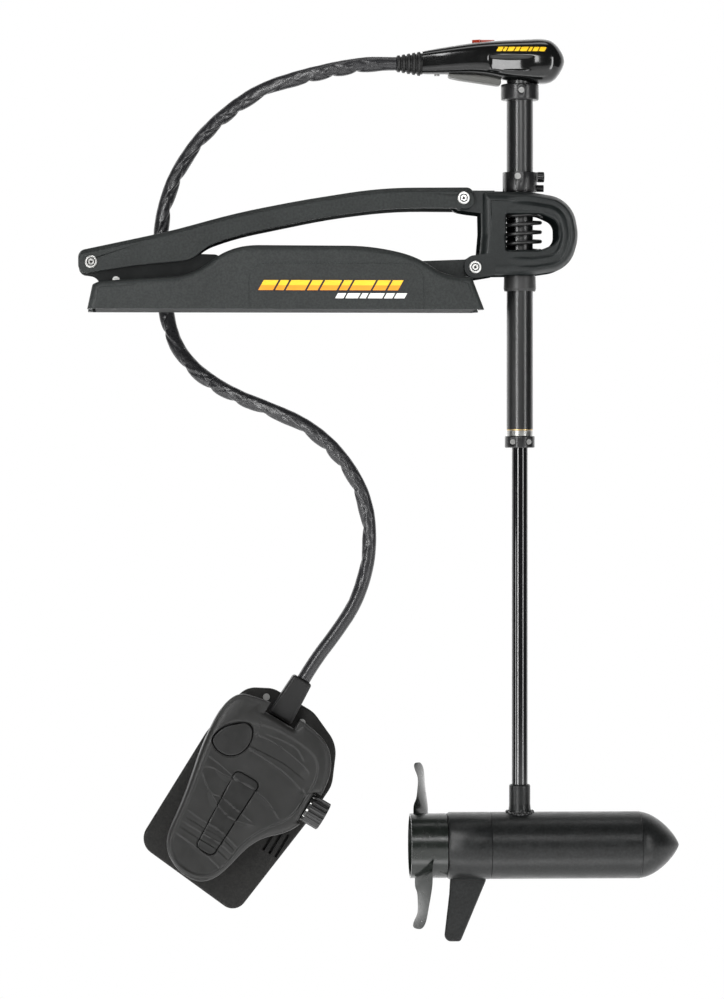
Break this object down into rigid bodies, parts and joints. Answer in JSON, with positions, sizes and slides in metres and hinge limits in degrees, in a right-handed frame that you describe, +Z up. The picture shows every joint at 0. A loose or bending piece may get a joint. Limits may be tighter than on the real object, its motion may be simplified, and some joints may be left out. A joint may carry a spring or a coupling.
{
  "type": "trolling motor",
  "caption": "Bow-mount, cable-steered electric trolling motor with folding arm mount, steering head, sliding tube, motor pod and foot pedal.",
  "frame": {"origin": "middle of the mount's deck face, the bottom of the base frame", "axes": "+X outboard over the bow, +Y to port, +Z up along the motor's tube"},
  "size_m": [0.824, 0.1855, 1.2379],
  "materials": {
    "frame_casting": "textured black paint",
    "cover_plastic": "fine moulded grain",
    "arm_casting": "glass-filled nylon, textured charcoal",
    "bracket_plastic": "fine moulded grain",
    "stainless": "machined",
    "spring_steel": "black coated spring wire",
    "bush_plastic": "moulded",
    "collar_plastic": "moulded",
    "tube_black": "satin black",
    "bush_bronze": "machined",
    "head_gloss": "polished black",
    "boot_rubber": "moulded",
    "gear_steel": "cut teeth",
    "gear_plastic": "moulded",
    "pointer_red": "moulded",
    "shaft_gloss": "polished black composite",
    "washer_steel": "machined",
    "pod_black": "satin textured black",
    "magnet": "sintered",
    "armature_iron": "laminated",
    "prop_plastic": "glass filled",
    "pedal_base_plastic": "coarse moulded grain",
    "pedal_plastic": "soft moulded",
    "button_plastic": "soft moulded",
    "knob_plastic": "moulded",
    "sheath_vinyl": "wrinkled vinyl"
  },
  "bodies": {
    "mount": {"base_frame": "frame_casting", "side_cover_front": "cover_plastic", "side_cover_rear": "cover_plastic", "cover_screws": "stainless", "arm_pivot_bolts": "stainless", "lower_arm_pivot_pin": "stainless", "pedal_base": "pedal_base_plastic", "pedal_boot": "boot_rubber", "pedal_screws": "stainless", "pedal_hinge_pin": "stainless", "sheath_mount": "sheath_vinyl", "sheath_pedal": "sheath_vinyl"},
    "upper_arm": {"upper_arm": "arm_casting", "arm_tip_bolts": "stainless", "sheath_arm": "sheath_vinyl"},
    "lower_arm": {"lower_arm": "arm_casting"},
    "bracket": {"bracket_upper_half": "bracket_plastic", "bracket_lower_half": "bracket_plastic", "breakaway_spring": "spring_steel", "bracket_bush": "bush_plastic", "depth_collar": "collar_plastic", "depth_collar_screw": "stainless", "lower_arm_tip_bolts": "stainless"},
    "depth_knob": {"depth_knob": "collar_plastic"},
    "tube_and_head": {"outer_tube": "tube_black", "shaft_bushes": "bush_bronze", "head_upper_shell": "head_gloss", "head_lower_shell": "head_gloss", "head_collar": "collar_plastic", "head_screws": "stainless", "cable_boot": "boot_rubber", "rack_guide": "gear_plastic", "sheath_head": "sheath_vinyl"},
    "steering_rack": {"steering_rack": "gear_steel"},
    "direction_indicator": {"direction_indicator": "pointer_red"},
    "shaft_and_motor": {"inner_shaft": "shaft_gloss", "steering_pinion": "bush_bronze", "shaft_clamp": "collar_plastic", "shaft_washer": "washer_steel", "clamp_screws": "stainless", "motor_housing": "pod_black", "nose_cap": "pod_black", "rear_end_bell": "pod_black", "through_bolts": "stainless", "field_magnets": "magnet", "motor_bearings": "bush_bronze", "shaft_seal": "boot_rubber", "brush_plate": "gear_plastic"},
    "propeller": {"armature": "armature_iron", "propeller": "prop_plastic", "drive_pin": "stainless", "prop_nut": "prop_plastic"},
    "treadle": {"pedal_rocker": "pedal_plastic", "pedal_tread_insert": "pedal_plastic", "momentary_switch": "gear_plastic", "speed_control": "gear_plastic"},
    "momentary_button": {"momentary_button": "button_plastic"},
    "speed_knob": {"speed_knob": "knob_plastic"},
    "pedal_rack": {"pedal_rack": "gear_plastic"}
  },
  "joints": [
    {"name": "stow_lift", "type": "hinge", "parent": "mount", "child": "upper_arm", "pos_m": [-0.2637, 0, 0.0643], "axis": [0, -1, 0], "range_deg": [0, 60]},
    {"name": "bracket_tilt", "type": "hinge", "parent": "upper_arm", "child": "bracket", "pos_m": [0.2421, 0, 0.1523], "axis": [0, 1, 0], "range_deg": [0, 23.03]},
    {"name": "lower_arm_swing", "type": "hinge", "parent": "mount", "child": "lower_arm", "pos_m": [-0.23, 0, 0.04], "axis": [0, -1, 0], "range_deg": [0, 62.7]},
    {"name": "depth_slide", "type": "slide", "parent": "bracket", "child": "tube_and_head", "axis": [0, 0, 1], "range_m": [-0.09, 0.18]},
    {"name": "depth_knob_turn", "type": "hinge", "parent": "bracket", "child": "depth_knob", "pos_m": [0.35, 0, 0.184], "axis": [1, 0, 0], "range_deg": [0, 180]},
    {"name": "steer_turn", "type": "hinge", "parent": "tube_and_head", "child": "shaft_and_motor", "pos_m": [0.323, 0, 0], "axis": [0, 0, 1], "range_deg": [-95, 95]},
    {"name": "steering_rack_slide", "type": "slide", "parent": "tube_and_head", "child": "steering_rack", "axis": [-1, 0, 0], "range_m": [-0.0147, 0.0147]},
    {"name": "indicator_turn", "type": "hinge", "parent": "tube_and_head", "child": "direction_indicator", "pos_m": [0.27195, 0, 0.34], "axis": [0, 0, 1], "range_deg": [-96, 96]},
    {"name": "propeller_spin", "type": "hinge", "parent": "shaft_and_motor", "child": "propeller", "pos_m": [0.3, 0, -0.733], "axis": [1, 0, 0], "continuous": true},
    {"name": "treadle_tilt", "type": "hinge", "parent": "mount", "child": "treadle", "pos_m": [-0.07395, -0.032, -0.67287], "axis": [0.8596, 0, -0.511], "range_deg": [-18.2, 18.2]},
    {"name": "pedal_rack_slide", "type": "slide", "parent": "mount", "child": "pedal_rack", "axis": [0.511, 0, 0.8596], "range_m": [-0.0147, 0.0147]},
    {"name": "button_press", "type": "slide", "parent": "treadle", "child": "momentary_button", "axis": [0, 1, 0], "range_m": [0, 0.003], "stiffness_N_per_m": 500, "springref_m": -0.001},
    {"name": "speed_knob_turn", "type": "hinge", "parent": "treadle", "child": "speed_knob", "pos_m": [0.02846, -0.026, -0.67673], "axis": [0.8596, 0, -0.511], "range_deg": [0, 270]}
  ],
  "couplings": [
    {"joint": "bracket_tilt", "follows": "stow_lift", "ratio": 0.37882},
    {"joint": "lower_arm_swing", "follows": "stow_lift", "ratio": 1.04},
    {"joint": "steering_rack_slide", "follows": "steer_turn", "m_per_rad": 0.00875},
    {"joint": "indicator_turn", "follows": "steer_turn", "ratio": 1},
    {"joint": "treadle_tilt", "follows": "steer_turn", "ratio": 0.18919},
    {"joint": "pedal_rack_slide", "follows": "steer_turn", "m_per_rad": 0.00875}
  ]
}
